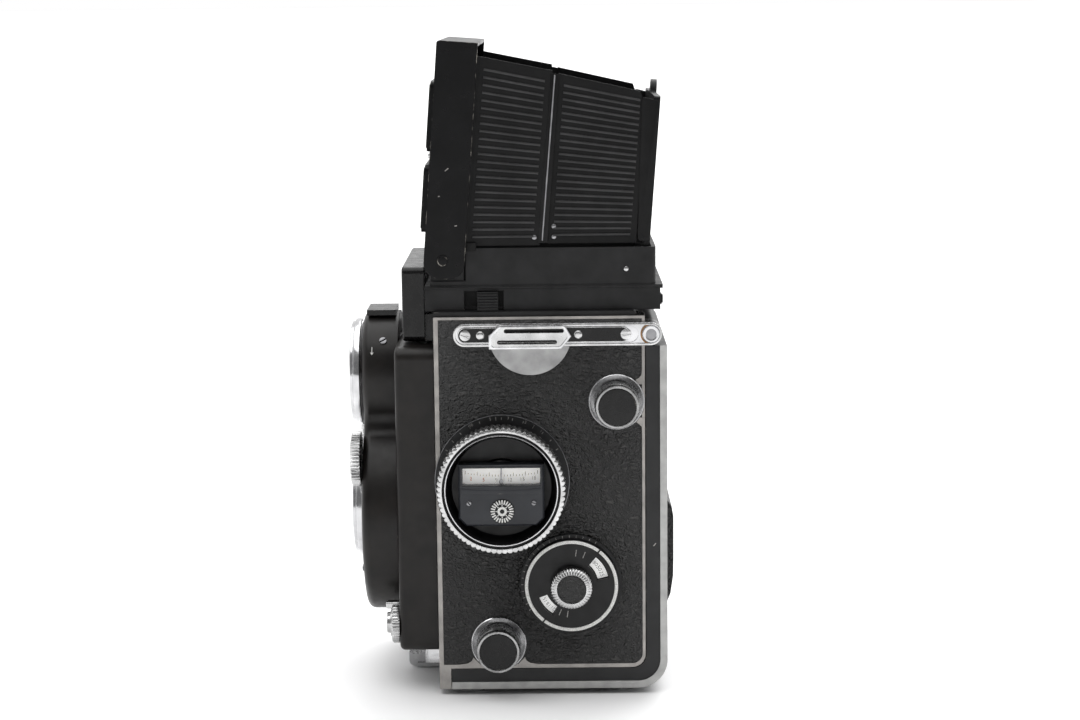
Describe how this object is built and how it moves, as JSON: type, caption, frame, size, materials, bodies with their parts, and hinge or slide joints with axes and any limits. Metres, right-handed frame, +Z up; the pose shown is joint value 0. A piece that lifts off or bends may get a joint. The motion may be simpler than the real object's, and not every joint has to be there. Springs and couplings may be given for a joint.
{
  "type": "twin lens reflex camera",
  "caption": "Box-shaped twin lens reflex film camera with an open waist-level hood, coupled focus knob with light meter, and a hinged back",
  "frame": {"origin": "mouth of the tripod socket at the centre of the underside, on the plane that the feet stand on", "axes": "+Z up, lenses face -Y, the viewer's left hand side with the focus knob is +X"},
  "size_m": [0.1089, 0.1062, 0.2116],
  "materials": {
    "black_enamel": "black baked enamel, worn at the edges",
    "black_leather": "coarse grained black leather",
    "bright_chrome": "polished chrome",
    "satin_silver": "fine brushed satin",
    "grey_enamel": "matte dark grey",
    "black_plastic": "matte black",
    "lens_glass": "coated optical glass",
    "clear_window": "clear window",
    "silvered_glass": "front-silvered mirror",
    "spring_steel": "steel"
  },
  "bodies": {
    "body": {"body_casting": "black_enamel", "side_leather": "black_leather", "side_trims": "satin_silver", "strap_plates": "bright_chrome", "strap_plate_screws": "bright_chrome", "strap_lugs": "bright_chrome", "rub_plates": "satin_silver", "top_plate": "grey_enamel", "reflex_mirror": "silvered_glass", "focusing_screen": "clear_window", "film_rollers": "spring_steel", "knob_dishes": "bright_chrome", "focus_scale_ring": "black_enamel", "meter_housing": "black_enamel", "meter_window": "clear_window", "speed_dial_cover": "black_enamel", "crank_boss": "bright_chrome", "meter_cell_housing": "black_enamel", "meter_cell_window": "clear_window", "hood_base": "grey_enamel", "hinge_pins": "bright_chrome"},
    "back": {"back_door": "black_enamel", "back_rim": "satin_silver", "back_leather": "black_leather", "pressure_plate": "spring_steel", "tripod_bush": "satin_silver", "feet": "bright_chrome", "latch_pin": "spring_steel"},
    "latch": {"door_latch": "bright_chrome"},
    "supply_spool": {"supply_spool": "black_plastic"},
    "takeup_spool": {"takeup_spool": "black_plastic"},
    "supply_knob": {"supply_knob": "bright_chrome"},
    "takeup_knob": {"takeup_knob": "bright_chrome"},
    "focus_ring": {"focus_ring": "bright_chrome"},
    "meter_needle": {"meter_needle": "black_plastic"},
    "speed_dial": {"speed_dial_knob": "satin_silver"},
    "crank": {"film_crank": "bright_chrome"},
    "crank_grip": {"crank_grip": "bright_chrome"},
    "lens_front": {"lens_standard": "black_enamel", "lens_plate": "black_enamel", "bayonet_rings": "bright_chrome", "lens_barrels": "black_enamel", "lens_glasses": "lens_glass", "shutter_case": "spring_steel", "readout_window": "black_enamel", "flash_socket": "bright_chrome"},
    "aperture_wheel": {"aperture_wheel": "bright_chrome"},
    "shutter_wheel": {"shutter_wheel": "bright_chrome"},
    "shutter_button": {"shutter_button": "bright_chrome"},
    "release_lock": {"release_lock": "bright_chrome"},
    "hood_locks": {"hood_locks": "black_enamel"},
    "hood_lid": {"hood_lid": "black_enamel"},
    "finder_flap": {"finder_flap": "black_enamel"},
    "magnifier": {"magnifier_frame": "black_enamel", "magnifier_lens": "lens_glass"},
    "front_leaf_left": {"front_leaf_left": "grey_enamel"},
    "front_leaf_right": {"front_leaf_right": "grey_enamel"},
    "hood_back": {"hood_back": "grey_enamel"},
    "rear_leaf_left": {"rear_leaf_left": "grey_enamel"},
    "rear_leaf_right": {"rear_leaf_right": "grey_enamel"}
  },
  "joints": [
    {"name": "lens_slide", "type": "slide", "parent": "body", "child": "lens_front", "axis": [0, -1, 0], "range_m": [0, 0.0068]},
    {"name": "focus_turn", "type": "hinge", "parent": "body", "child": "focus_ring", "pos_m": [0.048, -0.0157, 0.0717], "axis": [1, 0, 0], "range_deg": [0, 250]},
    {"name": "aperture_turn", "type": "hinge", "parent": "lens_front", "child": "aperture_wheel", "pos_m": [0.022, -0.062, 0.0755], "axis": [0, -1, 0], "range_deg": [0, 200]},
    {"name": "shutter_speed_turn", "type": "hinge", "parent": "lens_front", "child": "shutter_wheel", "pos_m": [-0.022, -0.062, 0.0755], "axis": [0, -1, 0], "range_deg": [0, 220]},
    {"name": "shutter_press", "type": "slide", "parent": "lens_front", "child": "shutter_button", "axis": [0, 1, 0], "range_m": [0, 0.003], "stiffness_N_per_m": 600},
    {"name": "release_lock_turn", "type": "hinge", "parent": "lens_front", "child": "release_lock", "pos_m": [-0.029, -0.052, 0.022], "axis": [0, -1, 0], "range_deg": [0, 45]},
    {"name": "crank_turn", "type": "hinge", "parent": "body", "child": "crank", "pos_m": [-0.044, -0.006, 0.062], "axis": [-1, 0, 0], "range_deg": [0, 270]},
    {"name": "crank_unfold", "type": "hinge", "parent": "crank", "child": "crank_grip", "pos_m": [-0.0491, -0.006, 0.0295], "axis": [0, -1, 0], "range_deg": [0, 90]},
    {"name": "takeup_turn", "type": "hinge", "parent": "body", "child": "takeup_spool", "pos_m": [0, 0.0211, 0.097], "axis": [-1, 0, 0], "range_deg": [0, 340]},
    {"name": "supply_turn", "type": "hinge", "parent": "body", "child": "supply_spool", "pos_m": [0, -0.0175, 0.0175], "axis": [-1, 0, 0], "range_deg": [0, 300]},
    {"name": "supply_knob_pull", "type": "slide", "parent": "body", "child": "supply_knob", "axis": [1, 0, 0], "range_m": [0, 0.006]},
    {"name": "takeup_knob_pull", "type": "slide", "parent": "body", "child": "takeup_knob", "axis": [1, 0, 0], "range_m": [0, 0.006]},
    {"name": "film_speed_turn", "type": "hinge", "parent": "body", "child": "speed_dial", "pos_m": [0.044, 0.0062, 0.0374], "axis": [1, 0, 0], "range_deg": [-150, 150]},
    {"name": "needle_swing", "type": "hinge", "parent": "body", "child": "meter_needle", "pos_m": [0.0523, -0.0157, 0.074], "axis": [1, 0, 0], "range_deg": [-20, 20]},
    {"name": "back_open", "type": "hinge", "parent": "body", "child": "back", "pos_m": [0, 0.0322, 0.1188], "axis": [1, 0, 0], "range_deg": [0, 100]},
    {"name": "latch_open", "type": "hinge", "parent": "back", "child": "latch", "pos_m": [0, -0.028, 0.00105], "axis": [1, 0, 0], "range_deg": [0, 70]},
    {"name": "hood_locks_slide", "type": "slide", "parent": "body", "child": "hood_locks", "axis": [0, -1, 0], "range_m": [0, 0.003]},
    {"name": "lid_tilt", "type": "hinge", "parent": "body", "child": "hood_lid", "pos_m": [0, -0.0338, 0.1423], "axis": [-1, 0, 0], "range_deg": [0, 20]},
    {"name": "front_leaf_left_fold", "type": "hinge", "parent": "hood_lid", "child": "front_leaf_left", "pos_m": [0.033, -0.0264, 0.1466], "axis": [0, 0.0767, 0.9971], "range_deg": [0, 60.5]},
    {"name": "front_leaf_right_fold", "type": "hinge", "parent": "hood_lid", "child": "front_leaf_right", "pos_m": [-0.033, -0.0264, 0.1466], "axis": [0, -0.0767, -0.9971], "range_deg": [0, 60.5]},
    {"name": "finder_flap_push", "type": "hinge", "parent": "hood_lid", "child": "finder_flap", "pos_m": [0, -0.03365, 0.19906], "axis": [1, 0, 0], "range_deg": [0, 42]},
    {"name": "magnifier_swing", "type": "hinge", "parent": "finder_flap", "child": "magnifier", "pos_m": [0, -0.03174, 0.19771], "axis": [1, 0, 0], "range_deg": [0, 85]},
    {"name": "hood_back_fold", "type": "hinge", "parent": "body", "child": "hood_back", "pos_m": [0, 0.0305, 0.138], "axis": [1, 0, 0], "range_deg": [0, 94]},
    {"name": "rear_leaf_left_fold", "type": "hinge", "parent": "hood_back", "child": "rear_leaf_left", "pos_m": [0.0318, 0.0276, 0.147], "axis": [0, -0.0767, -0.9971], "range_deg": [0, 90.5]},
    {"name": "rear_leaf_right_fold", "type": "hinge", "parent": "hood_back", "child": "rear_leaf_right", "pos_m": [-0.0318, 0.0276, 0.147], "axis": [0, 0.0767, 0.9971], "range_deg": [0, 90.5]}
  ],
  "couplings": [
    {"joint": "focus_turn", "follows": "lens_slide", "rad_per_m": 641},
    {"joint": "takeup_turn", "follows": "crank_turn", "ratio": 1.25},
    {"joint": "supply_turn", "follows": "crank_turn", "ratio": 1.1},
    {"joint": "front_leaf_left_fold", "follows": "lid_tilt", "ratio": 3},
    {"joint": "front_leaf_right_fold", "follows": "lid_tilt", "ratio": 3},
    {"joint": "rear_leaf_left_fold", "follows": "hood_back_fold", "ratio": 0.957},
    {"joint": "rear_leaf_right_fold", "follows": "hood_back_fold", "ratio": 0.957}
  ]
}
